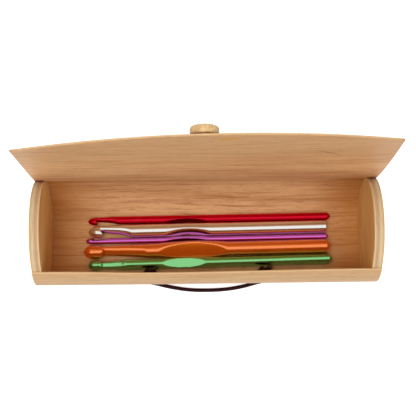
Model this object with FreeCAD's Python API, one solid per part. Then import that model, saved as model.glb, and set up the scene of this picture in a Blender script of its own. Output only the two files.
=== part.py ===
import FreeCAD, Part
import math
import os
from FreeCAD import Vector

# A round wooden case for crochet hooks, lying on its side. Two plywood discs close its ends. One thin
# sheet of wood is glued round them from the back, under the case and up the front, and the free rest of
# that sheet is the springy flap that covers the opening. A cord loop in the front holds a wooden button
# on the flap. Five crochet hooks lie on the floor of the case.
# Sizes are millimetres and degrees. +X runs along the case to the right, +Y to the back, +Z up. The
# origin is the middle of the flat that the case stands on. Angles round the case start at the top of the
# discs and grow towards the front.

# Case
case_length = 205.0
disc_radius = 31.0
disc_thickness = 5.8
sheet_thickness = 1.2
base_flat_width = 26.0
hinge_angle = -65.5
front_edge_angle = 61.0

# Flap, from the hinge line to its curved free edge
flap_length = 106.4
flap_corner_length = 85.1
flap_strips = 12
last_strip_length = 11.7
strip_gap = 0.1
lean_at_hinge = 6.0
lean_above = 3.1
curved_strips = 4
closed_slack = 2.4
closed_lift = 2.0

# Button on the flap
button_diameter = 15.0
button_thickness = 4.4
button_round = 1.3
button_neck_diameter = 6.5
button_neck_length = 1.0
button_offset = -2.0
button_distance = 99.0

# Cord loop through the front
cord_diameter = 2.4
cord_hole_clearance = 0.3
cord_hole_angle = 130.0
cord_hole_spacing = 71.0
knot_diameter = 4.4
knot_length = 8.0
knot_tail_length = 4.5
knot_wall_gap = 0.1
cord_exit_length = 5.0
cord_rest_height = 1.3
cord_reach = 32.05

# Crochet hooks. The gaps are what is left between a hook and the one behind it, at the head and at the
# tail. The roll turns the thumb rest from facing up to facing the front.
first_hook_y_head = 12.5
first_hook_y_tail = 13.9
floor_gap = 0.1
lift_travel = 75.0
hooks = {
    "red_hook": dict(diameter=5.0, length=152.0, head_x=-73.7, gap_head=0.0, gap_tail=0.0, roll=62.0,
                     thumb_start=50.0, thumb_length=23.0, tail_length=3.0),
    "silver_hook": dict(diameter=8.0, length=149.5, head_x=-73.1, gap_head=0.7, gap_tail=0.15, roll=60.0,
                        thumb_start=50.0, thumb_length=25.0, tail_length=0.8),
    "purple_hook": dict(diameter=3.8, length=152.0, head_x=-74.9, gap_head=0.05, gap_tail=0.05, roll=55.0,
                        thumb_start=51.0, thumb_length=24.0, tail_length=2.0),
    "orange_hook": dict(diameter=9.0, length=154.5, head_x=-76.2, gap_head=0.95, gap_tail=0.4, roll=24.0,
                        thumb_start=47.5, thumb_length=41.5, tail_length=3.2),
    "green_hook": dict(diameter=6.5, length=151.5, head_x=-72.9, gap_head=1.1, gap_tail=0.25, roll=6.0,
                       thumb_start=46.5, thumb_length=26.0, tail_length=3.0),
}

# Shape of every hook, as shares of its diameter
nose_share = 0.6
head_share = 1.35
throat_share = 2.4
neck_share = 0.42
lip_share = 0.3
throat_floor_share = 0.5
thumb_depth_share = 0.19
tail_tip_share = 0.25

# Values that follow from the sizes above
half_length = case_length / 2
outer_radius = disc_radius + sheet_thickness
centre_height = math.sqrt(disc_radius**2 - (base_flat_width / 2) ** 2) + sheet_thickness
strip_pitch = (flap_length - last_strip_length) / (flap_strips - 1)
closed_radius = disc_radius + closed_slack
edge_rise = flap_length - flap_corner_length
edge_radius = (half_length**2 + edge_rise**2) / (2 * edge_rise)
along_x = Vector(1, 0, 0)


def on_circle(radius, angle, x=0.0):
    """Point at this radius from the discs' axis and this angle from the top, towards the front."""
    turn = math.radians(angle)
    return Vector(x, -radius * math.sin(turn), centre_height + radius * math.cos(turn))


def round_block(radius, bottom, start, length):
    """Cylinder along X round the discs' axis, cut flat at the height bottom."""
    block = Part.makeCylinder(radius, length, Vector(start, 0, centre_height), along_x)
    reach = 2 * radius
    below = Part.makeBox(length, 2 * reach, reach, Vector(start, -reach, bottom - reach))
    return block.cut(below)


def end_disc(start):
    """Plywood disc with the flat of the base."""
    return round_block(disc_radius, sheet_thickness, start, disc_thickness)


def prism(points, push):
    """Closed polygon through the points, pushed out along a vector."""
    return Part.Face(Part.makePolygon(points + points[:1])).extrude(push)


def wrap_sheet():
    """Sheet round the discs, open over the top from the hinge line to the front edge."""
    outside = round_block(outer_radius, 0, -half_length, case_length)
    inside = round_block(disc_radius, sheet_thickness, -half_length, case_length)
    reach = 4 * disc_radius
    corners = [on_circle(0, 0, -half_length)]
    for angle in (hinge_angle, (hinge_angle + front_edge_angle) / 2, front_edge_angle):
        corners.append(on_circle(reach, angle, -half_length))
    opening = prism(corners, along_x * case_length)
    shell = outside.cut(inside).cut(opening)
    for side in (-1, 1):
        x = side * cord_hole_spacing / 2
        start = on_circle(disc_radius - sheet_thickness, cord_hole_angle, x)
        way = on_circle(1, cord_hole_angle) - on_circle(0, 0)
        hole_radius = cord_diameter / 2 + cord_hole_clearance
        shell = shell.cut(Part.makeCylinder(hole_radius, 3 * sheet_thickness, start, way))
    return shell


def strip_leans():
    """Lean of each flap strip at rest, forward from upright. The first few strips curve back."""
    leans = []
    for number in range(flap_strips):
        share = max(0.0, 1 - number / curved_strips)
        leans.append(lean_above + (lean_at_hinge - lean_above) * share)
    return leans


def strip_ends():
    """Distance of each strip's start and end from the hinge line."""
    starts = [number * strip_pitch for number in range(flap_strips)]
    return list(zip(starts, starts[1:] + [flap_length]))


def strip_hinges():
    """Place of each strip's hinge line, on the sheet's inner face."""
    points = [on_circle(disc_radius, hinge_angle)]
    for (start, end), lean in zip(strip_ends(), strip_leans()):
        step = Vector(0, -math.sin(math.radians(lean)), math.cos(math.radians(lean)))
        points.append(points[-1] + step * (end - start))
    return points[:-1]


def half_turn(length):
    """Angle between a closed strip of this length and the circle through its ends, at either end."""
    return math.degrees(math.atan(length / 2 / closed_radius))


def strip_turns():
    """Turn of each strip's joint from rest to closed. Every value is a turn towards the front.

    The first strip closes along the tangent, so the second makes up its half turn as well.
    """
    leans = strip_leans()
    lengths = [end - start for start, end in strip_ends()]
    turns = [90.0 + hinge_angle - closed_lift - leans[0]]
    for number in range(1, flap_strips):
        turn = half_turn(lengths[number - 1]) + half_turn(lengths[number])
        if number == 1:
            turn += half_turn(lengths[0])
        turns.append(turn + leans[number - 1] - leans[number])
    return turns


def flap_half_width(distance):
    """Half width of the flap at a distance from the hinge line: full, then along the round edge."""
    if distance <= flap_corner_length:
        return half_length
    return math.sqrt(edge_radius**2 - (edge_radius - flap_length + distance) ** 2)


def flap_strip(number):
    """One flat strip of the flap. Its outline is drawn upright and then leant into place."""
    start, end = strip_ends()[number]
    low = start + (hinge_gap() if number == 0 else strip_gap / 2)
    high = end if number == flap_strips - 1 else end - strip_gap / 2

    def corner(side, distance):
        return Vector(side * flap_half_width(distance), 0, distance - start)

    edges = [Part.LineSegment(corner(-1, low), corner(1, low))]
    if high <= flap_corner_length:
        edges.append(Part.LineSegment(corner(1, low), corner(1, high)))
        edges.append(Part.LineSegment(corner(1, high), corner(-1, high)))
        edges.append(Part.LineSegment(corner(-1, high), corner(-1, low)))
    else:
        bend = max(low, flap_corner_length)
        middle = (bend + high) / 2
        if bend > low:
            edges.append(Part.LineSegment(corner(1, low), corner(1, bend)))
        if number == flap_strips - 1:
            edges.append(Part.Arc(corner(1, bend), Vector(0, 0, high - start), corner(-1, bend)))
        else:
            edges.append(Part.Arc(corner(1, bend), corner(1, middle), corner(1, high)))
            edges.append(Part.LineSegment(corner(1, high), corner(-1, high)))
            edges.append(Part.Arc(corner(-1, high), corner(-1, middle), corner(-1, bend)))
        if bend > low:
            edges.append(Part.LineSegment(corner(-1, bend), corner(-1, low)))
    outline = Part.Wire([edge.toShape() for edge in edges])
    strip = Part.Face(outline).extrude(Vector(0, sheet_thickness, 0))
    return lean_into_place(strip, number)


def hinge_gap():
    """Room at the hinge line, so that the strip bent back at rest clears the edge of the wrap."""
    bent_back = 90.0 + hinge_angle - lean_at_hinge
    return strip_gap + sheet_thickness * math.tan(math.radians(bent_back))


def lean_into_place(shape, number):
    """Move a shape drawn on an upright strip to where that strip stands."""
    shape.rotate(Vector(0, 0, 0), along_x, strip_leans()[number])
    shape.translate(strip_hinges()[number])
    return shape


def button():
    """Turned button on a short neck, on the outer face of the last strip."""
    number = flap_strips - 1
    start, end = strip_ends()[number]
    foot = Vector(button_offset, sheet_thickness, button_distance - start)
    outward = Vector(0, 1, 0)
    neck = Part.makeCylinder(button_neck_diameter / 2, button_neck_length, foot, outward)
    rim_foot = foot + outward * button_neck_length
    rim = Part.makeCylinder(button_diameter / 2, button_thickness, rim_foot, outward)
    round_edges = [edge for edge in rim.Edges if abs(edge.Length - math.pi * button_diameter) < 0.01]
    rim = rim.makeFillet(min(button_round, 0.45 * button_thickness), round_edges)
    return lean_into_place(neck.fuse(rim).removeSplitter(), number)


def cord_route():
    """Points of the cord loop: out of the left hole, down onto the table, along and back in."""
    spread = cord_hole_spacing / 2
    wall = disc_radius - knot_wall_gap
    left_side = [
        on_circle(wall, cord_hole_angle, -spread),
        on_circle(wall + cord_exit_length, cord_hole_angle, -spread),
        Vector(-31.5, -27.7, 2 * cord_rest_height),
        Vector(-23.5, -29.6, cord_rest_height),
        Vector(-10.0, -cord_reach, cord_rest_height),
    ]
    right_side = [
        Vector(9.5, -cord_reach, cord_rest_height),
        Vector(22.5, -30.1, cord_rest_height),
        Vector(31.5, -27.7, 2 * cord_rest_height),
        on_circle(wall + cord_exit_length, cord_hole_angle, spread),
        on_circle(wall, cord_hole_angle, spread),
    ]
    return left_side + right_side


def cord_tube():
    """Round tube along straight runs that tangent arcs join, each arc as large as its runs allow."""
    points = cord_route()
    edges = []
    radii = []
    last = points[0]
    for before, here, after in zip(points, points[1:], points[2:]):
        back = (before - here).normalize()
        onward = (after - here).normalize()
        turn = math.pi - back.getAngle(onward)
        shorter = min((before - here).Length, (after - here).Length)
        cut = 0.45 * shorter
        radius = cut / math.tan(turn / 2)
        radii.append(radius)
        to_middle = (back + onward).normalize()
        middle = here + to_middle * (math.hypot(radius, cut) - radius)
        edges.append(Part.LineSegment(last, here + back * cut))
        edges.append(Part.Arc(here + back * cut, middle, here + onward * cut))
        last = here + onward * cut
    edges.append(Part.LineSegment(last, points[-1]))
    path = Part.Wire([edge.toShape() for edge in edges])
    section = Part.Wire(Part.makeCircle(cord_diameter / 2, points[0], points[1] - points[0]))
    tube = path.makePipeShell([section], True, False)
    share = tube.Volume / (path.Length * math.pi * cord_diameter**2 / 4)
    print("cord radii", [round(radius, 1) for radius in radii])
    print("cord length %.1f, volume over section times length %.4f" % (path.Length, share))
    return tube


def knot(side):
    """Knot behind a cord hole: a lump flattened against the wall, with a frayed tail."""
    radius = knot_diameter / 2
    middle = on_circle(disc_radius - knot_wall_gap - radius, cord_hole_angle, side * cord_hole_spacing / 2)
    half_core = (knot_length - knot_diameter) / 2
    core = Part.makeCylinder(radius, 2 * half_core, middle - along_x * half_core, along_x)
    for end in (-1, 1):
        core = core.fuse(Part.makeSphere(radius, middle + along_x * end * half_core))
    outward = on_circle(1, cord_hole_angle) - on_circle(0, 0)
    up_the_wall = outward.cross(along_x)
    tail_way = (along_x * 0.8 + up_the_wall * 0.7).normalize()
    tail = Part.makeCone(cord_diameter / 2, cord_diameter / 4, knot_tail_length,
                         middle + along_x * half_core, tail_way)
    lump = core.fuse(tail)
    flat_depth = 0.2 * radius
    reach = 2 * knot_length
    trim = Part.makeBox(reach, reach, reach, Vector(-reach / 2, -reach / 2, radius - flat_depth))
    trim.Placement = FreeCAD.Placement(middle, FreeCAD.Rotation(Vector(0, 0, 1), outward))
    return lump.cut(trim).removeSplitter()


def trough_height(y, radius):
    """Height of a rod's axis when it lies along the case on the flat or the round of its floor."""
    on_flat = sheet_thickness + radius
    inside = disc_radius - radius
    on_round = centre_height - math.sqrt(inside**2 - y**2)
    return max(on_flat, on_round) + floor_gap


def hook_lines():
    """Axis of each hook, from head to tail. Each lies beside the one before it, further to the front."""
    lines = {}
    y_head = first_hook_y_head
    y_tail = first_hook_y_tail
    last_radius = 0.0
    for name, hook in hooks.items():
        radius = hook["diameter"] / 2
        if last_radius:
            y_head -= last_radius + radius + hook["gap_head"]
            y_tail -= last_radius + radius + hook["gap_tail"]
        head = Vector(hook["head_x"], y_head, trough_height(y_head, radius))
        tail_x = hook["head_x"] + hook["length"]
        lines[name] = (head, Vector(tail_x, y_tail, trough_height(y_tail, radius)))
        last_radius = radius
    return lines


def hook_rod(hook):
    """Rod with a round nose and a tapered tail, turned about X from the tip of the head."""
    diameter = hook["diameter"]
    radius = diameter / 2
    nose = nose_share * diameter
    nose_radius = (nose**2 + radius**2) / (2 * radius)
    centre = Vector(nose, 0, radius - nose_radius)
    first = math.atan2(-centre.z, -centre.x)
    middle_turn = (first + math.pi / 2) / 2
    on_nose = centre + Vector(math.cos(middle_turn), 0, math.sin(middle_turn)) * nose_radius
    tip = Vector(0, 0, 0)
    shoulder = Vector(nose, 0, radius)
    taper = Vector(hook["length"] - hook["tail_length"], 0, radius)
    tail_rim = Vector(hook["length"], 0, max(tail_tip_share * diameter, radius - hook["tail_length"]))
    tail_middle = Vector(hook["length"], 0, 0)
    edges = [
        Part.Arc(tip, on_nose, shoulder),
        Part.LineSegment(shoulder, taper),
        Part.LineSegment(taper, tail_rim),
        Part.LineSegment(tail_rim, tail_middle),
        Part.LineSegment(tail_middle, tip),
    ]
    outline = Part.Wire([edge.toShape() for edge in edges])
    return Part.Face(outline).revolve(tip, along_x, 360)


def hook_throat(diameter):
    """Cutter for the throat: an undercut behind the lip, a floor, and a ramp back to full size."""
    radius = diameter / 2
    lip = head_share * diameter
    floor = neck_share * diameter - radius
    top = diameter
    points = [
        Vector(lip, -diameter, top),
        Vector(lip, -diameter, radius * 0.7),
        Vector(lip - lip_share * diameter, -diameter, floor),
        Vector(lip + throat_floor_share * diameter, -diameter, floor),
        Vector(lip + throat_share * diameter, -diameter, radius),
        Vector(lip + throat_share * diameter, -diameter, top),
    ]
    return prism(points, Vector(0, 2 * diameter, 0))


def crochet_hook(name):
    """Crochet hook with its throat and its two thumb flats on the same sides of the rod."""
    hook = hooks[name]
    diameter = hook["diameter"]
    depth = thumb_depth_share * diameter
    scoop_radius = (hook["thumb_length"] ** 2 / 4 + depth**2) / (2 * depth)
    middle = hook["thumb_start"] + hook["thumb_length"] / 2
    rod = hook_rod(hook).cut(hook_throat(diameter))
    for side in (-1, 1):
        axis_height = side * (diameter / 2 - depth + scoop_radius)
        foot = Vector(middle, -diameter, axis_height)
        rod = rod.cut(Part.makeCylinder(scoop_radius, 2 * diameter, foot, Vector(0, 1, 0)))
    head, tail = hook_lines()[name]
    rod.rotate(Vector(0, 0, 0), along_x, hook["roll"])
    rod.Placement = FreeCAD.Placement(head, FreeCAD.Rotation(along_x, tail - head)).multiply(rod.Placement)
    return rod


nodes = {
    "left_end_disc": end_disc(-half_length),
    "right_end_disc": end_disc(half_length - disc_thickness),
    "wrap_sheet": wrap_sheet(),
    "flap_button": button(),
    "cord_loop": cord_tube(),
    "left_cord_knot": knot(-1),
    "right_cord_knot": knot(1),
}
for number in range(flap_strips):
    nodes["flap_strip_%02d" % (number + 1)] = flap_strip(number)
for name in hooks:
    nodes[name] = crochet_hook(name)

os.makedirs("parts", exist_ok=True)
for name, shape in nodes.items():
    shape.exportStep("parts/%s.step" % name)
    box = shape.BoundBox
    print("%-16s solids %d valid %s volume %9.1f  x %7.2f %7.2f  y %7.2f %7.2f  z %7.2f %7.2f" % (
        name, len(shape.Solids), shape.isValid(), shape.Volume,
        box.XMin, box.XMax, box.YMin, box.YMax, box.ZMin, box.ZMax))

print("closing turns", [round(turn, 4) for turn in strip_turns()])
print("hinge lines", [(round(point.y, 4), round(point.z, 4)) for point in strip_hinges()])
print("hook lift", lift_travel)
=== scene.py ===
# %% [markdown]
# # A round wooden case with five crochet hooks
#
# The case is one thin sheet of wood, bent round two plywood discs. The rest of the same sheet stands
# up at the back as a springy flap with a turned button on it. A dark cord loop at the front goes over
# that button when the case is shut. Five anodised crochet hooks lie on the floor of the case.
#
# The measured model comes first, and every piece below is fitted to it. X runs along the case, Y from
# the front to the back, and Z up. Shapes are worked out in millimetres and stored in metres.

# %% Load the measured model
import math

import bmesh
import bpy
import numpy as np
from mathutils import Matrix, Vector


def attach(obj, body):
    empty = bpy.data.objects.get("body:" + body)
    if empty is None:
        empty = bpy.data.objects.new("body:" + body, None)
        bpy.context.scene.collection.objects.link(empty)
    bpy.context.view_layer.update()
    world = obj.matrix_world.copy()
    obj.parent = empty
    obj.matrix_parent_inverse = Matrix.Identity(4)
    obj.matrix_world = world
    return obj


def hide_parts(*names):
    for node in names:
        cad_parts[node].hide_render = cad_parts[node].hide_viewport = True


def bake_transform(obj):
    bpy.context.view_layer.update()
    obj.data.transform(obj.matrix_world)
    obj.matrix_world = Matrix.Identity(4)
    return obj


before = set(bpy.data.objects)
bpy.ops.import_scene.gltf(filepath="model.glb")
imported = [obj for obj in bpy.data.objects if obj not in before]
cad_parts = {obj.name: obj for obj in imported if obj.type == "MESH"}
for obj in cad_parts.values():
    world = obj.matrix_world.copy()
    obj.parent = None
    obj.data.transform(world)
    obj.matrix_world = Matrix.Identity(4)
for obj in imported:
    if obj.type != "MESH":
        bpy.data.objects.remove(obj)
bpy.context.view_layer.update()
MM = 0.001
bpy.context.scene.view_settings.view_transform = "Standard"

# %% [markdown]
# ## Camera
#
# The picture was taken from high above the front of the case, with a long lens. A camera needs a place,
# the way it looks and which way is up. Its focal length in pixels, times the sensor's width over the
# picture's width, gives the lens in millimetres.

# %% Camera
PICTURE_PIXELS = 416
FOCAL_PIXELS = 1004.57
SENSOR_WIDTH = 36.0
camera_place = Vector((-9.142, -134.118, 623.030)) * MM
camera_ahead = Vector((0.0168992, 0.2418874, -0.9701572)).normalized()
camera_right = camera_ahead.cross(Vector((0.0102984, 0.9702022, 0.2420780))).normalized()
camera_up = camera_right.cross(camera_ahead)

camera_data = bpy.data.cameras.new("camera")
camera_data.sensor_width = SENSOR_WIDTH
camera_data.lens = FOCAL_PIXELS * SENSOR_WIDTH / PICTURE_PIXELS
camera_data.clip_start, camera_data.clip_end = 0.01, 20.0
camera = bpy.data.objects.new("camera", camera_data)
camera_turn = Matrix((camera_right, camera_up, -camera_ahead)).transposed()
camera.matrix_world = Matrix.Translation(camera_place) @ camera_turn.to_4x4()
bpy.context.scene.collection.objects.link(camera)
bpy.context.scene.camera = camera
print("lens %.2f mm" % camera_data.lens)

# %% [markdown]
# ## Sizes of the case
#
# These are the driving sizes of the measured model, in millimetres and degrees. Angles are counted from
# the top of the discs towards the front. A point on the round wall is found from its radius and angle.

# %% Sizes of the case
HALF_LENGTH = 102.5
DISC_RADIUS = 31.0
DISC_THICKNESS = 5.8
SHEET = 1.2
CENTRE_HEIGHT = 29.342
HINGE_ANGLE = -65.5
FRONT_EDGE_ANGLE = 61.0


def on_circle(radius, angle, x=0.0):
    """Point at this radius from the discs' axis: y is minus radius times sine, z the height plus cosine."""
    turn = np.radians(angle)
    y = -radius * np.sin(turn)
    z = CENTRE_HEIGHT + radius * np.cos(turn)
    return np.stack(np.broadcast_arrays(x, y, z), -1).astype(float)


# %% [markdown]
# ## Cord loop
#
# A smooth waxed cord comes out of a hole low in the front, drops onto the table, lies there in a shallow
# bow and goes back in through a second hole. A cord is a curve with a round bevel, which keeps one
# smooth centreline. A NURBS spline of order 3 passes inside its control points, so ten points are
# enough for the whole loop.

# %% Cord loop
CORD_DIAMETER = 2.4
CORD_REST = 1.3
CORD_REACH = 32.05
CORD_HOLE_ANGLE = 130.0
CORD_HOLE_SIDE = 35.5
CORD_START = DISC_RADIUS - 0.1
CORD_OUT = CORD_START + 5.0

cord_points = np.array([
    on_circle(CORD_START, CORD_HOLE_ANGLE, -CORD_HOLE_SIDE),
    on_circle(CORD_OUT, CORD_HOLE_ANGLE, -CORD_HOLE_SIDE),
    (-31.5, -27.7, 2 * CORD_REST),
    (-23.5, -29.6, CORD_REST),
    (-10.0, -CORD_REACH, CORD_REST),
    (9.5, -CORD_REACH, CORD_REST),
    (22.5, -30.1, CORD_REST),
    (31.5, -27.7, 2 * CORD_REST),
    on_circle(CORD_OUT, CORD_HOLE_ANGLE, CORD_HOLE_SIDE),
    on_circle(CORD_START, CORD_HOLE_ANGLE, CORD_HOLE_SIDE),
])
cord_curve = bpy.data.curves.new("cord", "CURVE")
cord_curve.dimensions = "3D"
cord_spline = cord_curve.splines.new("NURBS")
cord_spline.points.add(len(cord_points) - 1)
cord_weights = np.ones((len(cord_points), 1))
cord_spline.points.foreach_set("co", np.hstack([cord_points * MM, cord_weights]).ravel())
cord_spline.order_u = 3
cord_spline.use_endpoint_u = True
cord_curve.resolution_u = 16
cord_curve.bevel_depth = CORD_DIAMETER / 2 * MM
cord_curve.bevel_resolution = 6
cord_curve.use_fill_caps = True
cord = bpy.data.objects.new("cord", cord_curve)
bpy.context.scene.collection.objects.link(cord)
print("cord control points", len(cord_points))

# %% [markdown]
# ## White surroundings and soft light
#
# The object stands on a white table in an evenly lit room. Where the camera, or a mirror-like surface,
# looks past the object it sees plain white, while the light that falls on the object stays at a level
# at which a colour renders about as it is written. Light Path tells the two kinds of ray apart.

# %% Helper for lights, and a white world
SKY_LIGHT = 0.62


def seen_directly(tree):
    """Socket that is 1 for rays from the camera, a mirror or through glass: the three flags added up."""
    path = tree.nodes.new("ShaderNodeLightPath")
    total = path.outputs["Is Camera Ray"]
    for flag in ("Is Glossy Ray", "Is Transmission Ray"):
        add = tree.nodes.new("ShaderNodeMath")
        add.operation = "ADD"
        add.use_clamp = True
        tree.links.new(total, add.inputs[0])
        tree.links.new(path.outputs[flag], add.inputs[1])
        total = add.outputs[0]
    return total


world = bpy.data.worlds.new("white room")
bpy.context.scene.world = world
world.use_nodes = True
sky = world.node_tree.nodes["Background"]
sky.inputs["Color"].default_value = (1.0, 1.0, 1.0, 1.0)
level = world.node_tree.nodes.new("ShaderNodeMapRange")
world.node_tree.links.new(seen_directly(world.node_tree), level.inputs["Value"])
level.inputs["To Min"].default_value = SKY_LIGHT
level.inputs["To Max"].default_value = 1.0
world.node_tree.links.new(level.outputs["Result"], sky.inputs["Strength"])


def soft_lamp(name, place, aim, size, watts):
    """Square area lamp turned towards its aim. Mirror-like surfaces see the white room and not the lamp."""
    data = bpy.data.lights.new(name, "AREA")
    data.shape = "SQUARE"
    data.size = size
    data.energy = watts
    lamp = bpy.data.objects.new(name, data)
    lamp.location = place
    lamp.rotation_euler = (Vector(aim) - Vector(place)).to_track_quat("-Z", "Y").to_euler()
    lamp.visible_glossy = False
    bpy.context.scene.collection.objects.link(lamp)
    return lamp


soft_lamp("lamp_above", (-0.25, -0.35, 1.3), (0.0, 0.0, 0.03), 0.7, 9.0)
soft_lamp("lamp_front", (0.5, -1.0, 0.7), (0.0, 0.0, 0.05), 0.6, 3.0)

# %% [markdown]
# ## Shader maths
#
# A procedural finish is a sum: some noise times a number, plus another mask. Written with nodes alone
# that is long to read, so one small class wraps an output socket and lets Python's own operators add
# the Math nodes. A second class holds one material and adds every other kind of node.

# %% Wires and finishes
def tone(red, green, blue):
    """A colour read as 0 to 255, turned into the linear values that shaders use."""
    share = np.array([red, green, blue]) / 255
    linear = np.where(share <= 0.04045, share / 12.92, ((share + 0.055) / 1.055) ** 2.4)
    return (*linear, 1.0)


class Wire:
    """One output socket. Plus, minus, times and power on wires and numbers add Math nodes."""

    def __init__(self, finish, socket):
        self.finish, self.socket = finish, socket

    def _math(self, operation, first, second):
        return self.finish.node("Math", {"operation": operation}, {0: first, 1: second})

    def __add__(self, other):
        return self._math("ADD", self, other)

    __radd__ = __add__

    def __mul__(self, other):
        return self._math("MULTIPLY", self, other)

    __rmul__ = __mul__

    def __sub__(self, other):
        return self._math("SUBTRACT", self, other)

    def __rsub__(self, other):
        return self._math("SUBTRACT", other, self)

    def __pow__(self, other):
        return self._math("POWER", self, other)

    def __abs__(self):
        return self._math("ABSOLUTE", self, 0.0)

    def rise(self, low, high):
        """Smooth step: 0 below low, 1 above high. With low above high it falls instead."""
        if low > high:
            return 1 - self.rise(high, low)
        settings = {"interpolation_type": "SMOOTHSTEP"}
        return self.finish.node("MapRange", settings, {"Value": self, "From Min": low, "From Max": high})


class Finish:
    """One material. Its constants are set on the shader, and node() adds any other node to it."""

    def __init__(self, name, constants):
        self.material = bpy.data.materials.new(name)
        self.material.use_nodes = True
        self.tree = self.material.node_tree
        self.shader = self.tree.nodes["Principled BSDF"]
        for socket, value in constants.items():
            self.shader.inputs[socket].default_value = value

    def plug(self, socket, value):
        """Link a wire to a socket, or set the socket to a plain value."""
        if isinstance(value, Wire):
            self.tree.links.new(value.socket, socket)
        else:
            socket.default_value = value

    def node(self, kind, settings, inputs, output=0):
        """Add a node: settings first, a ramp's stops among them, then the values or links of its sockets."""
        made = self.tree.nodes.new("ShaderNode" + kind)
        for key, value in settings.items():
            if key == "stops":
                stops = made.color_ramp.elements
                while len(stops) < len(value):
                    stops.new(1.0)
                for stop, (position, colour) in zip(stops, value):
                    stop.position, stop.color = position, colour
            elif key == "steps":
                made.color_ramp.interpolation = value
            else:
                setattr(made, key, value)
        for key, value in inputs.items():
            self.plug(made.inputs[key], value)
        return Wire(self, made.outputs[output])

    def place(self):
        """Object coordinates, in metres."""
        return self.node("TexCoord", {}, {}, "Object")

    def split(self, vector):
        """The three numbers of a vector."""
        first = self.node("SeparateXYZ", {}, {"Vector": vector})
        return [Wire(self, first.socket.node.outputs[axis]) for axis in range(3)]

    def join(self, x, y, z):
        """A vector from three numbers."""
        return self.node("CombineXYZ", {}, {"X": x, "Y": y, "Z": z})

    def noise(self, vector, stretch, shift=0.0, detail=4.0, roughness=0.55):
        """Noise from 0 to 1 after the vector is multiplied by stretch, per metre, and moved by shift."""
        moved = self.node("Mapping", {}, {
            "Vector": vector, "Scale": stretch, "Location": (shift, 0.7 * shift, 0.3 * shift)})
        return self.node("TexNoise", {}, {
            "Vector": moved, "Scale": 1.0, "Detail": detail, "Roughness": roughness})

    def mix(self, amount, first, second, how="MIX"):
        """Colour that goes from first to second as amount goes from 0 to 1."""
        settings = {"data_type": "RGBA", "blend_type": how}
        return self.node("Mix", settings, {0: amount, 6: first, 7: second}, 2)

    def bump(self, height, distance, strength=1.0):
        """Relief: the height, 0 to 1, times a distance in metres."""
        relief = self.node("Bump", {}, {"Height": height, "Distance": distance, "Strength": strength})
        self.plug(self.shader.inputs["Normal"], relief)

    def wear(self, colour, roughness):
        """Plug the colour and the roughness into the shader, and hand back the material."""
        self.plug(self.shader.inputs["Base Color"], colour)
        self.plug(self.shader.inputs["Roughness"], roughness)
        return self.material


# %% [markdown]
# ## White table
#
# The table shows as white and still keeps the soft shadow under the case. Its material adds a little
# glow, seen only directly, to a plain white surface: in the open the two together reach white, and in
# the shadow they stay just below it.

# %% White table
TABLE_GLOW = 0.60

table_finish = bpy.data.materials.new("white_table")
table_finish.use_nodes = True
table_tree = table_finish.node_tree
table_tree.nodes.remove(table_tree.nodes["Principled BSDF"])
paint = table_tree.nodes.new("ShaderNodeBsdfDiffuse")
paint.inputs["Color"].default_value = (0.8, 0.8, 0.8, 1.0)
glow = table_tree.nodes.new("ShaderNodeEmission")
glow_level = table_tree.nodes.new("ShaderNodeMath")
glow_level.operation = "MULTIPLY"
glow_level.inputs[1].default_value = TABLE_GLOW
table_tree.links.new(seen_directly(table_tree), glow_level.inputs[0])
table_tree.links.new(glow_level.outputs[0], glow.inputs["Strength"])
both = table_tree.nodes.new("ShaderNodeAddShader")
table_tree.links.new(paint.outputs[0], both.inputs[0])
table_tree.links.new(glow.outputs[0], both.inputs[1])
table_tree.links.new(both.outputs[0], table_tree.nodes["Material Output"].inputs["Surface"])

table_mesh = bpy.data.meshes.new("table")
TABLE_HALF = 3.0
table_mesh.from_pydata(
    [(-TABLE_HALF, -TABLE_HALF, 0), (TABLE_HALF, -TABLE_HALF, 0),
     (TABLE_HALF, TABLE_HALF, 0), (-TABLE_HALF, TABLE_HALF, 0)], [], [(0, 1, 2, 3)])
table_mesh.materials.append(table_finish)
table = bpy.data.objects.new("table", table_mesh)
bpy.context.scene.collection.objects.link(table)

# %% [markdown]
# ## From rings of points to a closed piece
#
# Almost every piece here is a stack of rings: a rod is a stack of circles, a bent plate is a stack of
# thin rounded rectangles. One function joins neighbouring rings by quads and closes both ends. A round
# end is closed by a fan to its middle. A thin plate's end is closed by quads between its two faces,
# because the middle of a bent plate's outline can lie outside it. The sign of the enclosed volume tells
# whether the faces point outwards, and turns them if they don't.

# %% Rings to a closed mesh
def ring_faces(count, around, first, thin, shut_end):
    """Corner numbers of a shell: point k of ring i is i times around plus k."""
    k = np.arange(around)
    after = (k + 1) % around
    row = np.arange(count - 1)[:, None] * around
    quads = np.stack([row + k, row + after, row + around + after, row + around + k], -1).reshape(-1, 4)
    last = (count - 1) * around
    if thin:
        near = np.arange(around // 2 - 1)
        cap = np.stack([near, near + 1, around - 2 - near, around - 1 - near], -1)
        caps = [cap[:, ::-1]] + ([last + cap] if shut_end else [])
        return (np.concatenate([quads] + caps) + first).tolist()
    middle = count * around
    start = np.stack([after, k, np.full(around, middle)], -1)
    end = np.stack([last + k, last + after, np.full(around, middle + 1)], -1)
    return (quads + first).tolist() + (np.concatenate([start, end]) + first).tolist()


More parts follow.
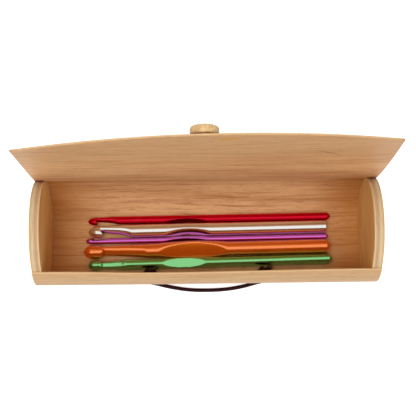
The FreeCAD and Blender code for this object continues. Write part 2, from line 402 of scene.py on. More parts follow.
def make_piece(name, shells, thin=False, shut_end=True, sheet_place=None, marks=None, rod=None, sharp=40.0):
    """One closed mesh from shells, each an array of (rings, points, 3) in millimetres.

    sheet_place gives every point its place on the flat sheet, kept as a UV map in metres. marks are named
    numbers from 0 to 1 at every point, such as whether it is on a cut edge, kept as attributes. rod is
    every point's place in a rod's own frame, kept as an attribute in metres.
    """
    points, faces = [], []
    for rings in shells:
        flat = rings.reshape(-1, 3)
        first = sum(len(part) for part in points)
        faces += ring_faces(rings.shape[0], rings.shape[1], first, thin, shut_end)
        middles = [] if thin else [[rings[0].mean(0), rings[-1].mean(0)]]
        points += [flat] + [np.array(m) for m in middles]
    mesh = bpy.data.meshes.new(name)
    mesh.from_pydata(np.concatenate(points) * MM, [], faces)
    if sheet_place is not None:
        corner = np.zeros(len(mesh.loops), np.int32)
        mesh.loops.foreach_get("vertex_index", corner)
        layer = mesh.uv_layers.new(name="sheet")
        layer.data.foreach_set("uv", (sheet_place.reshape(-1, 2)[corner] * MM).ravel())
    for label, share in (marks or {}).items():
        mesh.attributes.new(label, "FLOAT", "POINT").data.foreach_set("value", share.ravel())
    if rod is not None:
        own = np.concatenate([rod.reshape(-1, 3), rod[0].mean(0)[None], rod[-1].mean(0)[None]])
        mesh.attributes.new("rod", "FLOAT_VECTOR", "POINT").data.foreach_set("vector", (own * MM).ravel())
    body = bmesh.new()
    body.from_mesh(mesh)
    bmesh.ops.remove_doubles(body, verts=body.verts, dist=1e-7)
    if body.calc_volume(signed=True) < 0:
        bmesh.ops.reverse_faces(body, faces=body.faces)
    open_edges = sum(1 for edge in body.edges if not edge.is_manifold)
    body.to_mesh(mesh)
    body.free()
    mesh.polygons.foreach_set("use_smooth", np.ones(len(mesh.polygons), bool))
    mesh.set_sharp_from_angle(angle=math.radians(sharp))
    piece = bpy.data.objects.new(name, mesh)
    bpy.context.scene.collection.objects.link(piece)
    print("%-18s points %6d  faces %6d  open edges %d" % (
        name, len(mesh.vertices), len(mesh.polygons), open_edges))
    return piece


def dress(piece, material, nodes):
    """Give a piece its material and hide the CAD nodes that it stands for."""
    piece.data.materials.append(material)
    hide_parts(*nodes)
    return piece


# %% [markdown]
# ## Thin sheet wood
#
# The sheet is a smooth light veneer with its grain along the case: long faint streaks, a few short dark
# flecks, and slow patches of warmer and paler wood. The pattern is laid on the flat sheet, in a UV map
# that counts metres along the case and round it, so it runs on from the case into the flap and stays in
# place when the flap bends. Noise stretched along the grain gives the streaks.
# Light and shade are also painted into the inner face. The inside of the case, the front of its floor, the
# corners by the discs and the gap at the hinge are darkened as painted shade, and the upper flap is toned as if
# it were lit more.

# %% Thin sheet wood
STAIN = (10.3, 99.0, 8.5, 2.8, 0.0)
FLAME = (66.0, 66.0, 9.5, 1.4, -0.72)


def near_spot(wood, x, v, spot):
    """1 inside a slanted oval at x, v in mm with its half length, half width and slope, and 0 outside."""
    spot_x, spot_v, half_long, half_wide, slope = spot
    along, across = x - spot_x * MM, v - spot_v * MM
    across = across - along * slope
    reach = along * along * (1 / (half_long * MM) ** 2) + across * across * (1 / (half_wide * MM) ** 2)
    return reach.rise(1.0, 0.0)


def sheet_wood(name, pale, middle, dark):
    """Veneer: three tones mixed by slow, long and fine noise, with flecks and pale cut edges, and painted shade
    and light on the inner face.
    """
    wood = Finish(name, {"Specular IOR Level": 0.35})
    flat = wood.node("UVMap", {"uv_map": "sheet"}, {})
    x, v, _ = wood.split(flat)
    sway = wood.noise(flat, (14.0, 18.0, 1.0), 3.1, detail=3.0)
    waved = wood.join(x, v + (sway - 0.5) * 0.008, 0.0)
    patches = wood.noise(flat, (7.0, 34.0, 1.0), 8.4, detail=3.0)
    bands = wood.noise(waved, (8.0, 190.0, 1.0), 1.7, detail=5.0, roughness=0.6)
    streaks = wood.noise(waved, (30.0, 820.0, 1.0), 5.2, detail=4.0, roughness=0.65)
    pores = wood.noise(waved, (110.0, 2600.0, 1.0), 9.9, detail=2.0)
    flecks = wood.noise(waved, (190.0, 1500.0, 1.0), 2.3, detail=1.0).rise(0.66, 0.75)
    colour = wood.mix(patches.rise(0.35, 0.68), pale, middle)
    inner = wood.node("Attribute", {"attribute_name": "inner"}, {}, "Fac")
    outer = 1 - inner
    # Inside the case the inner face gets more of the dark bands and streaks. This is partly the veneer's grain
    # and partly painted shade of the case's interior.
    inside = v.rise(0.012, -0.012) * inner
    colour = wood.mix(bands.rise(0.48, 0.70) * (0.32 + inside * 0.14 - outer * 0.08), colour, dark)
    colour = wood.mix(streaks.rise(0.47, 0.70) * (0.66 + inside * 0.10 - outer * 0.14), colour, dark)
    colour = wood.mix(streaks.rise(0.47, 0.28) * 0.45, colour, pale)
    colour = wood.mix(pores.rise(0.48, 0.70) * 0.42, colour, dark)
    colour = wood.mix(flecks * 0.6, colour, tone(112, 70, 38))
    # From 30 to 80 mm up the flap, the inner face is mixed towards a yellower tan. This is partly the wood's
    # tone and partly painted light on the open upper flap, set against the shaded sheet lower down.
    colour = wood.mix(v.rise(0.030, 0.080) * inner * 0.50, colour, tone(170, 128, 84))
    # Painted shade: inside the case, close to the discs, the inner face is mixed towards a dark saturated
    # brown.
    corner = abs(x).rise(0.058, 0.098) * v.rise(0.004, -0.006) * inner
    colour = wood.mix(corner * 0.62, colour, tone(170, 100, 4))
    # Painted shade: low in the case, towards the front of its floor, the inner face is mixed towards a darker
    # brown.
    low = v.rise(-0.040, -0.085) * inner
    colour = wood.mix(low * 0.24, colour, tone(136, 88, 22))
    colour = wood.mix(outer * 0.5, colour, tone(164, 135, 93))
    # Painted shadow: a thin dark red-brown line where the sheet leaves the discs at the hinge, for the shade in
    # the gap there.
    crevice_shadow = abs(x).rise(0.0960, 0.0968) * abs(v).rise(0.0046, 0.0030) * inner
    colour = wood.mix(crevice_shadow * 0.92, colour, tone(150, 54, 4))
    colour = wood.mix(near_spot(wood, x, v, STAIN) * inner * 0.7, colour, tone(196, 140, 30))
    colour = wood.mix(near_spot(wood, x, v, FLAME) * inner * 0.7, colour, tone(140, 90, 48))
    edge = wood.node("Attribute", {"attribute_name": "cut"}, {}, "Fac")
    layers = wood.noise(wood.place(), (60.0, 900.0, 900.0), 4.4, detail=2.0)
    edge_colour = wood.mix(layers, tone(210, 170, 120), tone(232, 202, 156))
    flap_side = v.rise(0.0, 0.002) * v.rise(0.088, 0.084)
    edge_colour = wood.mix(flap_side * 0.9, edge_colour, tone(166, 110, 58))
    colour = wood.mix(edge, colour, edge_colour)
    wood.bump(streaks * 0.6 + pores * 0.4, 0.00006)
    return wood.wear(colour, 0.52 + (streaks - 0.5) * 0.25)


case_wood = sheet_wood("sheet_wood", tone(226, 178, 127), tone(204, 150, 103), tone(166, 104, 58))

# %% [markdown]
# ## The sheet as one surface
#
# The whole sheet is one function of two parameters: x along the case, and v, the distance along the
# sheet from the hinge line. Below the hinge line v is negative and the sheet follows the discs, with a
# flat for the case to stand on. Above it the sheet bends back in a short soft bend and then stands
# almost straight. A third number, the depth, goes from the inner face to the outer one.

# %% The sheet's inner face and its outward direction
BEND_HALF = 2.0
ANGLE_PER_MM = math.degrees(1 / DISC_RADIUS)
FRONT_V = -(360.0 + HINGE_ANGLE - FRONT_EDGE_ANGLE) / ANGLE_PER_MM
FLAP_LENGTH = 106.4
BASE_EASE = 1.6
FRONT_BOW, BOW_MIDDLE, BOW_END = 1.35, -30.0, 94.0
TWIST = 2.0
CORNER_CURL = 1.2
LEAN_AT_HINGE, LEAN_ABOVE, LEAN_START, LEAN_RUN = 6.0, 3.1, 4.3, 34.4


def base_radius(angle, radius, height):
    """The circle's radius, or less where the flat base cuts it: height over cosine, eased at the corner."""
    down = np.maximum(-np.cos(np.radians(angle)), 1e-3)
    flat = height / down
    near = np.clip(BASE_EASE - np.abs(flat - radius), 0.0, None) / BASE_EASE
    return np.minimum(radius, flat) - BASE_EASE * near**2 / 4


def lean_of(v):
    """Lean of the flap forward from upright, in degrees, eased from the discs' tangent into the flap."""
    flap = LEAN_ABOVE + (LEAN_AT_HINGE - LEAN_ABOVE) * np.clip(1 - (v - LEAN_START) / LEAN_RUN, 0.0, 1.0)
    tangent = 90.0 + HINGE_ANGLE - v * ANGLE_PER_MM
    share = np.clip((v + BEND_HALF) / (2 * BEND_HALF), 0.0, 1.0)
    share = share * share * (3 - 2 * share)
    return tangent * (1 - share) + flap * share


flap_v = np.linspace(-BEND_HALF, FLAP_LENGTH + 1.0, 4400)
flap_step = np.radians(lean_of((flap_v[1:] + flap_v[:-1]) / 2))
flap_run = np.stack([-np.sin(flap_step), np.cos(flap_step)], -1) * (flap_v[1] - flap_v[0])
flap_foot = on_circle(DISC_RADIUS, HINGE_ANGLE - BEND_HALF * ANGLE_PER_MM)[1:]
flap_line = np.concatenate([[flap_foot], flap_foot + np.cumsum(flap_run, 0)])


def sheet_point(x, v, depth):
    """Point of the sheet. On the flap: the summed steps of the lean. On the discs: the eased radius."""
    y = np.interp(v, flap_v, flap_line[:, 0])
    z = np.interp(v, flap_v, flap_line[:, 1])
    lean = np.radians(lean_of(np.maximum(v, -BEND_HALF)))
    side = x / HALF_LENGTH
    warp = (TWIST * side + CORNER_CURL * side**3) * (np.clip(v, 0.0, None) / FLAP_LENGTH) ** 2
    flap = np.stack([x, y + warp + np.cos(lean) * depth, z + np.sin(lean) * depth], -1)
    angle = 360.0 + HINGE_ANGLE + v * ANGLE_PER_MM
    inner = base_radius(angle, DISC_RADIUS, CENTRE_HEIGHT - SHEET)
    outer = base_radius(angle, DISC_RADIUS + SHEET, CENTRE_HEIGHT)
    open_share = np.clip((108.0 - angle) / (108.0 - FRONT_EDGE_ANGLE), 0.0, 1.0) ** 1.5
    reach = np.where(x < BOW_MIDDLE, BOW_END + BOW_MIDDLE, BOW_END - BOW_MIDDLE)
    across = np.clip((x - BOW_MIDDLE) / reach, -1.0, 1.0)
    bow = FRONT_BOW * open_share * np.cos(np.pi / 2 * across) ** 2
    wall = on_circle(inner + (outer - inner) * depth / SHEET + bow, angle, x)
    return np.where((v < -BEND_HALF)[..., None], wall, flap)


hinge_check = sheet_point(np.array([0.0]), np.array([50.0]), np.array([0.0]))[0]
print("flap at 50 mm: y %.2f z %.2f" % (hinge_check[1], hinge_check[2]))

# %% [markdown]
# ## Rings of the sheet
#
# Each ring is the thin outline of the sheet at one v, with small rounded corners. The flap's free edge
# is a shallow arc that starts at two blunt corners, so its half width shrinks to nothing at the top and
# the corners of the outline are pushed in square to the arc.

# %% Rings of the sheet
EDGE_ROUND = 0.3
INNER_CUT = 0.25
FLAP_CORNER = 85.1
EDGE_RISE = FLAP_LENGTH - FLAP_CORNER
EDGE_RADIUS = (HALF_LENGTH**2 + EDGE_RISE**2) / (2 * EDGE_RISE)
COLUMNS = 72

corner_turn = np.linspace(math.pi / 2, 0.0, 4)
corner_in = EDGE_ROUND * (1 - np.sin(corner_turn))
corner_down = EDGE_ROUND * (1 - np.cos(corner_turn))
column_side = np.concatenate([-np.ones(4), np.zeros(COLUMNS), np.ones(4)])
inner_share = np.concatenate([[-0.999], np.linspace(-0.975, 0.975, COLUMNS - 2), [0.999]])
column_share = np.concatenate([-np.ones(4), inner_share, np.ones(4)])
column_in = np.concatenate([corner_in, np.full(COLUMNS, EDGE_ROUND), corner_in[::-1]])
column_down = np.concatenate([corner_down, np.zeros(COLUMNS), corner_down[::-1]])


def sheet_rings(v, inset):
    """Outline of the sheet at each v: outer face left to right, inner face back, pushed in by inset."""
    v, inset = v[:, None], inset[:, None]
    arc = v > FLAP_CORNER
    up = np.where(arc, (v - FLAP_LENGTH + EDGE_RADIUS) / EDGE_RADIUS, 0.0)
    out = np.where(arc, np.sqrt(np.clip(1 - up**2, 0.0, 1.0)), 1.0)
    half = np.where(arc, out * EDGE_RADIUS, HALF_LENGTH)
    x = column_share * (half - out * EDGE_ROUND) + column_side * out * (EDGE_ROUND - column_in)
    place_v = np.broadcast_to(v - up * column_in, x.shape)
    down = np.maximum(column_down, inset)
    outer = sheet_point(x, place_v, SHEET - down)
    inner = sheet_point(x, place_v, down)
    flat = np.stack([x, place_v], -1)
    on_edge = np.broadcast_to(np.abs(column_side), x.shape)
    join = lambda near, far: np.concatenate([near, far[:, ::-1]], 1)
    marks = {"cut": join(on_edge, on_edge * INNER_CUT), "inner": join(np.zeros(x.shape), np.ones(x.shape))}
    return join(outer, inner), join(flat, flat), marks


# %% [markdown]
# ## Case wall
#
# The fixed part of the sheet goes from its free front edge, down round the bottom and up the back to
# the soft bend. Its front edge is rounded like its ends, by rings that are pushed in. The two holes for
# the cord are cut with a Boolean modifier that is applied straight away.

# %% Case wall
wall_v = np.concatenate([
    FRONT_V + EDGE_ROUND * (1 - np.sin(np.linspace(math.pi / 2, 0.0, 4)[:-1])),
    np.linspace(FRONT_V + EDGE_ROUND, -BEND_HALF, 150)])
wall_inset = np.concatenate([corner_down[:-1], np.zeros(150)])
wall_rings, wall_flat, wall_marks = sheet_rings(wall_v, wall_inset)
wall_marks["cut"] = np.maximum(wall_marks["cut"], (wall_inset > 0)[:, None])
case_wall = make_piece("case_wall", [wall_rings], thin=True, sheet_place=wall_flat, marks=wall_marks)


def cut_hole(piece, start, end, radius):
    """Cut a round hole: a cylinder of 40 sides from start to end is taken away by a Boolean."""
    turn = np.linspace(0, 2 * np.pi, 40, endpoint=False)
    along = (end - start) / np.linalg.norm(end - start)
    side = np.array([1.0, 0.0, 0.0])
    circle = radius * (np.cos(turn)[:, None] * side + np.sin(turn)[:, None] * np.cross(along, side))
    cutter = make_piece("drill", [np.stack([start + circle, end + circle])])
    boolean = piece.modifiers.new("hole", "BOOLEAN")
    boolean.operation, boolean.object, boolean.solver = "DIFFERENCE", cutter, "EXACT"
    with bpy.context.temp_override(object=piece, active_object=piece):
        bpy.ops.object.modifier_apply(modifier="hole")
    bpy.data.objects.remove(cutter)


for side in (-1, 1):
    hole_x = side * CORD_HOLE_SIDE
    cut_hole(case_wall, on_circle(DISC_RADIUS - 1.5, CORD_HOLE_ANGLE, hole_x),
             on_circle(DISC_RADIUS + 3.0, CORD_HOLE_ANGLE, hole_x), CORD_DIAMETER / 2 + 0.3)
dress(case_wall, case_wood, ["wrap_sheet"])
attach(case_wall, "case")

# %% [markdown]
# ## Springy flap
#
# The flap closes by bending all along its length. The measured model turns twelve strips one after the
# other, and here the one smooth sheet is cut into twelve lengths. Each length runs from the middle of
# one strip to the middle of the next, and stands in for those two strips.

# %% Springy flap
STRIPS = 12
LAST_STRIP = 11.7
STRIP_PITCH = (FLAP_LENGTH - LAST_STRIP) / (STRIPS - 1)
strip_middles = [(number + 0.5) * STRIP_PITCH for number in range(STRIPS - 1)]
strip_middles.append(FLAP_LENGTH - LAST_STRIP / 2)
flap_cuts = [-BEND_HALF] + strip_middles[:-1] + [FLAP_LENGTH]


def flap_rows(low, high):
    """Rows of one length: even steps, and near the arc's top steps that shrink as the arc flattens."""
    even = np.linspace(low, high, 10)
    if high <= FLAP_CORNER:
        return even
    ends = np.sqrt((FLAP_LENGTH - np.array([low, high])) / EDGE_RISE)
    share = np.linspace(ends[0], ends[1], 24)
    rows = FLAP_LENGTH - EDGE_RISE * share**2
    rows[0], rows[-1] = low, high
    if low < FLAP_CORNER:
        rows = np.concatenate([np.linspace(low, FLAP_CORNER, 6), rows[rows > FLAP_CORNER + EDGE_ROUND]])
    return rows


for number in range(STRIPS):
    low, high = flap_cuts[number], flap_cuts[number + 1]
    rows = flap_rows(low, high)
    rings, flat, marks = sheet_rings(rows, np.zeros(len(rows)))
    top = number == STRIPS - 1
    length = make_piece("flap_length_%02d" % (number + 1), [rings], thin=True, shut_end=not top,
                        sheet_place=flat, marks=marks)
    nodes = {"flap_strip_%02d" % max(number, 1), "flap_strip_%02d" % (number + 1)}
    dress(length, case_wood, sorted(nodes))
    turn_from = sheet_point(np.array([0.0]), np.array([low]), np.array([0.0]))[0] * MM
    turn_to = sheet_point(np.array([0.0]), np.array([strip_middles[number]]), np.array([0.0]))[0] * MM
    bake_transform(length)

# %% [markdown]
# ## Plywood end discs
#
# Each end is a disc sawn from plywood. Its rim shows the layers as bands of honey, grey and pale wood,
# and its faces show the figure of the outer veneer. The layers are drawn by the distance through the
# disc, with edges that wander a little, and the rim is told from the faces by its distance from the
# disc's axis.

# %% Plywood
def plywood(name):
    """Bands by depth on the rim, figured veneer on the faces, and a pale line where the two meet."""
    wood = Finish(name, {"Specular IOR Level": 0.3})
    place = wood.place()
    x, y, z = wood.split(place)
    high = z - CENTRE_HEIGHT * MM
    from_axis = (y * y + high * high) ** 0.5
    inner_face = (HALF_LENGTH - DISC_THICKNESS) * MM
    wander = wood.noise(place, (300.0, 60.0, 60.0), 2.0, detail=3.0) - 0.5
    depth = (abs(x) - inner_face) * (1 / (DISC_THICKNESS * MM)) + wander * 0.05
    layers = wood.node("ValToRGB", {"steps": "CONSTANT", "stops": [
        (0.0, tone(212, 182, 140)), (0.16, tone(192, 158, 118)), (0.36, tone(172, 134, 94)),
        (0.41, tone(194, 164, 126)), (0.56, tone(206, 184, 148)), (0.78, tone(206, 168, 116))]},
        {"Fac": depth})
    saw = wood.noise(place, (900.0, 120.0, 120.0), 7.0, detail=3.0)
    rim = wood.mix(saw.rise(0.45, 0.75) * 0.35, layers, tone(150, 108, 68))
    figure = wood.noise(place, (8.0, 26.0, 240.0), 3.0, detail=5.0, roughness=0.6)
    slow = wood.noise(place, (8.0, 20.0, 60.0), 6.0, detail=2.0)
    face = wood.mix(slow.rise(0.35, 0.7), tone(226, 178, 110), tone(212, 158, 88))
    face = wood.mix(figure.rise(0.5, 0.75) * 0.5, face, tone(166, 112, 56))
    on_rim = from_axis.rise((DISC_RADIUS - 0.5) * MM, (DISC_RADIUS - 0.25) * MM)
    colour = wood.mix(on_rim, face, rim)
    wood.bump(saw * 0.5 + figure * 0.5, 0.00008)
    return wood.wear(colour, 0.6 + (figure - 0.5) * 0.2)


disc_wood = plywood("plywood")

# %% [markdown]
# The disc itself is a stack of outlines through its thickness. Each outline is the circle with the flat
# of the base, pushed in at the first and last rings to break the two edges.

# %% End discs
DISC_ROUND = 0.45
DISC_POINTS = 192


def disc_rings(start):
    """Outline at each x: the eased base radius less the inset, over all angles round the axis."""
    bend = np.linspace(0.0, math.pi / 2, 5)
    inset = DISC_ROUND * (1 - np.sin(bend))
    ahead = DISC_ROUND * (1 - np.cos(bend))
    x = np.concatenate([[0.0, 0.0], ahead, (DISC_THICKNESS - ahead)[::-1], [DISC_THICKNESS] * 2])
    push = np.concatenate([[8.0, DISC_ROUND + 0.4], inset, inset[::-1], [DISC_ROUND + 0.4, 8.0]])
    angle = np.linspace(0.0, 360.0, DISC_POINTS, endpoint=False)
    radius = base_radius(angle, DISC_RADIUS, CENTRE_HEIGHT - SHEET)
    return on_circle(radius[None] - push[:, None], angle[None], (start + x)[:, None])


for name, node, start in (("left_disc", "left_end_disc", -HALF_LENGTH),
                          ("right_disc", "right_end_disc", HALF_LENGTH - DISC_THICKNESS)):
    disc = make_piece(name, [disc_rings(start)])
    dress(disc, disc_wood, [node])
    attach(disc, "case")

# %% [markdown]
# ## Turned button
#
# The button is turned from pale wood: a short neck, a drum with rounded edges and a slightly hollowed
# face. A turned shape is a profile carried once round its axis. It stands on the outer face of the
# flap, near the middle of the free edge, with the grain upright.

# %% Button
BUTTON_X, BUTTON_V = -2.0, 99.0
button_profile = np.array([
    (3.25, -0.5), (3.25, 0.2), (3.20, 0.8), (3.40, 1.0), (5.2, 1.0), (6.1, 1.02), (6.78, 1.20),
    (7.22, 1.56), (7.46, 2.1), (7.50, 2.7), (7.50, 3.8), (7.45, 4.35), (7.22, 4.84), (6.80, 5.18),
    (6.2, 5.37), (5.4, 5.40), (4.7, 5.34), (2.4, 5.25), (0.9, 5.23)])


def button_finish(name):
    """Pale end-turned wood: upright grain by stretched noise."""
    wood = Finish(name, {"Specular IOR Level": 0.4})
    place = wood.place()
    broad = wood.noise(place, (260.0, 120.0, 30.0), 1.0, detail=3.0)
    fine = wood.noise(place, (1400.0, 500.0, 90.0), 4.0, detail=3.0)
    colour = wood.mix(broad.rise(0.35, 0.7), tone(226, 192, 142), tone(212, 172, 118))
    colour = wood.mix(fine.rise(0.48, 0.70) * 0.6, colour, tone(166, 118, 70))
    wood.bump(fine, 0.00005)
    return wood.wear(colour, 0.48 + (fine - 0.5) * 0.2)


turn = np.linspace(0, 2 * np.pi, 72, endpoint=False)
button_foot = sheet_point(np.array([BUTTON_X]), np.array([BUTTON_V]), np.array([SHEET]))[0]
button_lean = math.radians(LEAN_ABOVE)
button_out = np.array([0.0, math.cos(button_lean), math.sin(button_lean)])
button_up = np.array([0.0, -math.sin(button_lean), math.cos(button_lean)])
circle = np.cos(turn)[:, None] * np.array([1.0, 0.0, 0.0]) + np.sin(turn)[:, None] * button_up
button_rings = (button_foot + button_profile[:, 0][:, None, None] * circle
                + button_profile[:, 1][:, None, None] * button_out)
button = make_piece("button", [button_rings], sharp=50.0)
dress(button, button_finish("button_wood"), ["flap_button"])
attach(button, "flap_%02d" % STRIPS)

# %% [markdown]
# ## Cord finish and knots
#
# The cord is dark maroon, near black, and waxed smooth. Behind each hole it is tied into a small tight
# knot with a frayed end. A knot is a tube along a closed looping path, the trefoil, squeezed flat
# against the wall. The frayed end is a spray of thin tapering tubes with fixed random directions.

# %% Cord finish
def cord_wax(name, dark, light):
    """Two dark tones mixed by fine noise, with a faint twist of the fibres as relief."""
    wax = Finish(name, {"Specular IOR Level": 0.14})
    place = wax.place()
    fibres = wax.noise(place, (1500.0, 2600.0, 2600.0), 1.0, detail=3.0)
    patches = wax.noise(place, (160.0, 160.0, 160.0), 5.0, detail=2.0)
    colour = wax.mix(fibres.rise(0.35, 0.7), dark, light)
    colour = wax.mix(patches.rise(0.5, 0.75) * 0.4, colour, dark)
    wax.bump(fibres, 0.00012)
    return wax.wear(colour, 0.55 + (fibres - 0.5) * 0.3)


cord_finish = cord_wax("waxed_cord", tone(14, 3, 5), tone(58, 10, 16))
dress(cord, cord_finish, ["cord_loop"])
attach(cord, "case")


# %% Knots
def tube(path, radius, around=12):
    """Circles of the given radii carried along a path, square to its direction at every point."""
    ahead = np.gradient(path, axis=0)
    ahead /= np.linalg.norm(ahead, axis=1, keepdims=True)
    side = np.cross(ahead, np.array([0.31, 0.17, 0.94]))
    side /= np.linalg.norm(side, axis=1, keepdims=True)
    turn = np.linspace(0, 2 * np.pi, around, endpoint=False)[None, :, None]
    ring = np.cos(turn) * side[:, None] + np.sin(turn) * np.cross(ahead, side)[:, None]
    return path[:, None] + np.broadcast_to(radius, len(path))[:, None, None] * ring


KNOT_RADIUS = 2.2
KNOT_SCALE = np.array([1.25, 0.70, 0.95])
FRAY_COUNT = 14
out_way = on_circle(1.0, CORD_HOLE_ANGLE) - on_circle(0.0, CORD_HOLE_ANGLE)
wall_way = np.cross(out_way, np.array([1.0, 0.0, 0.0]))
knot_frame = np.array([[1.0, 0.0, 0.0], wall_way, out_way])
chance = np.random.default_rng(7)
for side, name, node, rise in ((-1, "left_knot", "left_cord_knot", 0.2),
                               (1, "right_knot", "right_cord_knot", -0.8)):
    middle = on_circle(DISC_RADIUS - 0.1 - KNOT_RADIUS, CORD_HOLE_ANGLE, side * CORD_HOLE_SIDE)
    middle = middle + rise * wall_way
    q = np.linspace(0.0, 2 * np.pi, 90)
    loop = KNOT_SCALE * np.stack([np.sin(q) + 2 * np.sin(2 * q), np.cos(q) - 2 * np.cos(2 * q),
                                  -np.sin(3 * q)], -1)
    shells = [tube(middle + loop @ knot_frame, 1.05, 14)]
    grow = np.linspace(0.0, 1.0, 9)[:, None]
    for _ in range(FRAY_COUNT):
        way = np.array([0.70, -0.45, -0.30]) + chance.normal(0.0, 0.34, 3)
        way = way / np.linalg.norm(way)
        droop = chance.normal(0.0, 1.0, 3) * 0.8
        start = np.array([2.2, -0.6, 0.0]) + chance.normal(0.0, 0.5, 3)
        strand = start + grow * way * chance.uniform(3.0, 5.4) + grow**2 * droop
        strand[:, 2] = np.minimum(strand[:, 2], KNOT_RADIUS - 0.3)
        shells.append(tube(middle + strand @ knot_frame, 0.26 * (1 - 0.7 * grow[:, 0]), 6))
    knot = make_piece(name, shells, sharp=80.0)
    dress(knot, cord_finish, [node])
    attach(knot, "case")

# %% [markdown]
# ## Coloured metal
#
# The hooks are aluminium, polished and dyed. Such metal has no colour of its own under a paint: the dye
# tints what it reflects. So the base colour is the tint of a pure white reflection, the surface is fully
# metallic, and the warm wood round the hooks darkens and warms the rest. Fine lines from drawing and
# handling run along the rod and vary the roughness.

# %% Coloured metal
def dyed_metal(name, tint, worn, roughness, coat, metallic):
    """Metal with a tint, lengthwise drawing lines in its roughness and relief, and rubbed paler spots."""
    metal = Finish(name, {
        "Metallic": metallic, "Coat Weight": coat, "Coat IOR": 1.8, "Coat Roughness": 0.08})
    place = metal.node("Attribute", {"attribute_name": "rod"}, {}, "Vector")
    lines = metal.noise(place, (9.0, 1500.0, 1500.0), 3.0, detail=3.0)
    rubbed = metal.noise(place, (90.0, 260.0, 260.0), 8.0, detail=4.0)
    colour = metal.mix(rubbed.rise(0.56, 0.80) * 0.35, tint, worn)
    metal.bump(lines, 0.000002)
    return metal.wear(colour, roughness + (lines - 0.5) * 0.10 + rubbed.rise(0.5, 0.8) * 0.05)


# %% [markdown]
# ## Crochet hooks
#
# A crochet hook is one rod: a round nose, a lip that overhangs a deep throat, a neck that widens back
# to the full rod, a thumb rest pressed flat on two sides, and a short tapered tail. It is modelled as a
# stack of rings. Each ring is a circle, cut off at the height of the throat or of the thumb rest with a
# soft corner, so one formula covers the whole length. Near the lip the rings lean, their top further
# along than their foot, and that leaning makes the overhang.

# %% Rings of a hook
RING_POINTS = 56

# Along the throat, as shares of the diameter: how far along a ring's top is, how high it is cut off
# (0.6 is not at all), how far along its foot is, and how wide it is.
throat_keys = np.array([
    (0.00, 0.60, 0.00, 1.00), (0.03, 0.60, 0.02, 1.00), (0.10, 0.60, 0.07, 1.00),
    (0.25, 0.60, 0.18, 1.00), (0.45, 0.60, 0.32, 1.00), (0.70, 0.60, 0.50, 1.00),
    (1.00, 0.58, 0.68, 1.00), (1.22, 0.50, 0.82, 0.99), (1.33, 0.44, 0.90, 0.97),
    (1.36, 0.38, 0.93, 0.95), (1.28, 0.22, 0.96, 0.90), (1.12, -0.02, 1.00, 0.78),
    (1.15, -0.08, 1.06, 0.70), (1.35, -0.06, 1.25, 0.68), (2.00, 0.03, 1.95, 0.75),
    (2.70, 0.15, 2.67, 0.84), (3.30, 0.32, 3.28, 0.93), (3.70, 0.48, 3.69, 0.98),
    (4.05, 0.60, 4.05, 1.00)])


LIP_PLACE = 1.36
RAMP_PLACE = 3.5


def soft_smaller(first, second, ease):
    """The smaller of two arrays, eased over a small range where they cross."""
    near = np.clip(ease - np.abs(first - second), 0.0, None) / ease
    return np.minimum(first, second) - ease * near**2 / 4


def hook_rings(size):
    """Rings from the tip to the tail, lying along X with the throat upwards, in millimetres."""
    d, length = size["diameter"], size["length"]
    r = d / 2
    step = np.linspace(0.0, len(throat_keys) - 1.0, 110)
    keys = np.stack([np.interp(step, np.arange(len(throat_keys)), k) for k in throat_keys.T], -1)
    for _ in range(4):
        keys[1:-1] = (keys[:-2] + 2 * keys[1:-1] + keys[2:]) / 4
    key_places = [0.0, LIP_PLACE, RAMP_PLACE, throat_keys[-1, 0]]
    own_places = [0.0, size["lip"], size["ramp"], size["ramp"] + throat_keys[-1, 0] - RAMP_PLACE]
    keys[:, 0] = np.interp(keys[:, 0], key_places, own_places)
    keys[:, 2] = np.interp(keys[:, 2], key_places, own_places)
    thumb_start, thumb_end = size["thumb"]
    rest = np.concatenate([
        np.linspace(keys[-1, 0] * d, thumb_start, 12)[1:], np.linspace(thumb_start, thumb_end, 60)[1:],
        np.linspace(thumb_end, length - size["tail"], 30)[1:],
        length - size["tail"] * (1 - np.sin(np.linspace(0.0, math.pi / 2, 8)[1:]))])
    plain = np.stack([rest / d, np.full(len(rest), 0.6), rest / d, np.ones(len(rest))], -1)
    top, cut, foot, wide = np.concatenate([keys, plain]).T[:, :, None] * np.array([d, d, d, 1.0])[:, None, None]

    turn = np.linspace(-np.pi / 2, 1.5 * np.pi, RING_POINTS, endpoint=False)[None]
    crown = np.minimum(1.0, cut / r + 0.06)
    height = -1 + (1 + np.sin(turn)) * (1 + crown) / 2
    climb = np.clip((1 + height) / (1 + np.minimum(cut / r, 1.0)), 0.0, 1.0)
    s = foot + (top - foot) * climb**2
    nose = size["nose"] * d
    tail_left = np.clip((s - (length - size["tail"])) / size["tail"], 0.0, 1.0)
    tip = size["tip"] * d
    radius = np.where(s < nose, r * np.sqrt(np.clip(1 - (1 - s / nose) ** 2, 0.0, 1.0)),
                      tip + (r - tip) * (1 - tail_left))
    pad_share = np.clip((s - thumb_start) / (thumb_end - thumb_start), 0.0, 1.0)
    press = np.sin(np.pi * pad_share) ** 0.8
    half_height = r * (1.04 - size["press"] * press)
    wide = wide * (1 + size["spread"] * press)
    y = radius * np.cos(turn) * wide
    z = soft_smaller(radius * height, cut + 0 * s, 0.04 * d)
    pressed = np.sign(z) * soft_smaller(np.abs(z), half_height, 0.05 * d)
    z = np.where(press > 0, pressed, z)
    straight = np.clip((s - size["lip"] * d) / ((size["ramp"] - size["lip"]) * d), 0.0, 1.0)
    z = z + size["bend"] * d * (1 - straight * straight * (3 - 2 * straight))
    return np.stack([s, y, z], -1)


def floor_height(y, radius):
    """Height at which a rod lies: the highest of the floor's points lifted by the circle through each."""
    angle = np.linspace(110.0, 250.0, 1401)
    floor = on_circle(base_radius(angle, DISC_RADIUS, CENTRE_HEIGHT - SHEET), angle)
    near = np.clip(radius**2 - (floor[:, 1] - y) ** 2, 0.0, None)
    return np.where(near > 0, floor[:, 2] + np.sqrt(near), 0.0).max() + 0.05


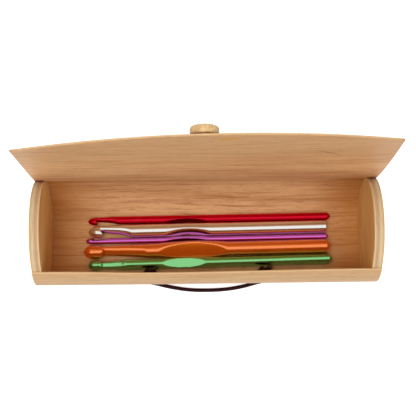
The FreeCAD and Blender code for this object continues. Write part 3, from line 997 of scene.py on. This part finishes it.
def lay_hook(rings, size):
    """Turn the rings by the roll about X, then along the line from the head's place to the tail's."""
    head = np.array([size["head_x"], size["y"][0], floor_height(size["y"][0], size["diameter"] / 2)])
    tail_x = size["head_x"] + size["length"]
    tail = np.array([tail_x, size["y"][1], floor_height(size["y"][1], size["diameter"] / 2)])
    along = (tail - head) / np.linalg.norm(tail - head)
    up = np.array([0.0, 0.0, 1.0]) - along[2] * along
    up /= np.linalg.norm(up)
    side = np.cross(up, along)
    roll = math.radians(size["roll"])
    throat_way = math.cos(roll) * up - math.sin(roll) * side
    return head + rings @ np.array([along, np.cross(throat_way, along), throat_way])


# %% [markdown]
# Each hook has its own diameter, length, thumb rest and roll on the floor. They lie side by side, the
# smaller ones tucked between the larger, and each is set down on the curved floor by its own radius.

# %% Five hooks
hook_sizes = {
    "red": dict(diameter=5.0, length=152.7, head_x=-74.1, y=(12.5, 13.9), roll=62.0, nose=0.95,
                bend=0.14, lip=1.18, ramp=3.5, thumb=(48.5, 75.0), press=0.52, spread=0.04, tail=1.7,
                tip=0.22),
    "silver": dict(diameter=8.0, length=149.5, head_x=-73.8, y=(5.3, 7.25), roll=60.0, nose=1.0,
                   bend=0.10, lip=1.14, ramp=3.2, thumb=(48.5, 77.5), press=0.48, spread=0.05, tail=0.2,
                   tip=0.46),
    "purple": dict(diameter=3.8, length=152.7, head_x=-75.5, y=(-0.65, 1.3), roll=-125.0, nose=0.9,
                   bend=0.06, lip=1.36, ramp=3.4, thumb=(49.0, 77.0), press=0.60, spread=0.05, tail=1.3,
                   tip=0.22),
    "orange": dict(diameter=9.0, length=154.2, head_x=-76.4, y=(-8.0, -5.5), roll=24.0, nose=0.62,
                   bend=0.03, lip=1.36, ramp=4.1, thumb=(46.5, 90.0), press=0.62, spread=0.24, tail=2.2,
                   tip=0.22),
    "green": dict(diameter=6.5, length=152.2, head_x=-73.3, y=(-16.85, -13.5), roll=6.0, nose=0.6,
                  bend=0.0, lip=1.26, ramp=3.35, thumb=(46.0, 73.0), press=0.60, spread=0.0, tail=1.9,
                  tip=0.18),
}
hook_tints = {
    "red": (tone(214, 18, 44), tone(232, 74, 90), 0.18, 0.0, 1.0),
    "silver": (tone(238, 236, 232), tone(246, 246, 246), 0.16, 0.0, 1.0),
    "purple": (tone(220, 116, 218), tone(232, 160, 232), 0.18, 0.0, 1.0),
    "orange": (tone(252, 128, 8), tone(255, 156, 60), 0.20, 1.0, 0.86),
    "green": (tone(122, 206, 124), tone(156, 226, 160), 0.20, 0.7, 1.0),
}
for colour, size in hook_sizes.items():
    rings = hook_rings(size)
    hook = make_piece(colour + "_crochet_hook", [lay_hook(rings, size)], rod=rings, sharp=32.0)
    metal = dyed_metal(colour + "_metal", *hook_tints[colour])
    dress(hook, metal, [colour + "_hook"])
    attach(hook, colour + "_hook")
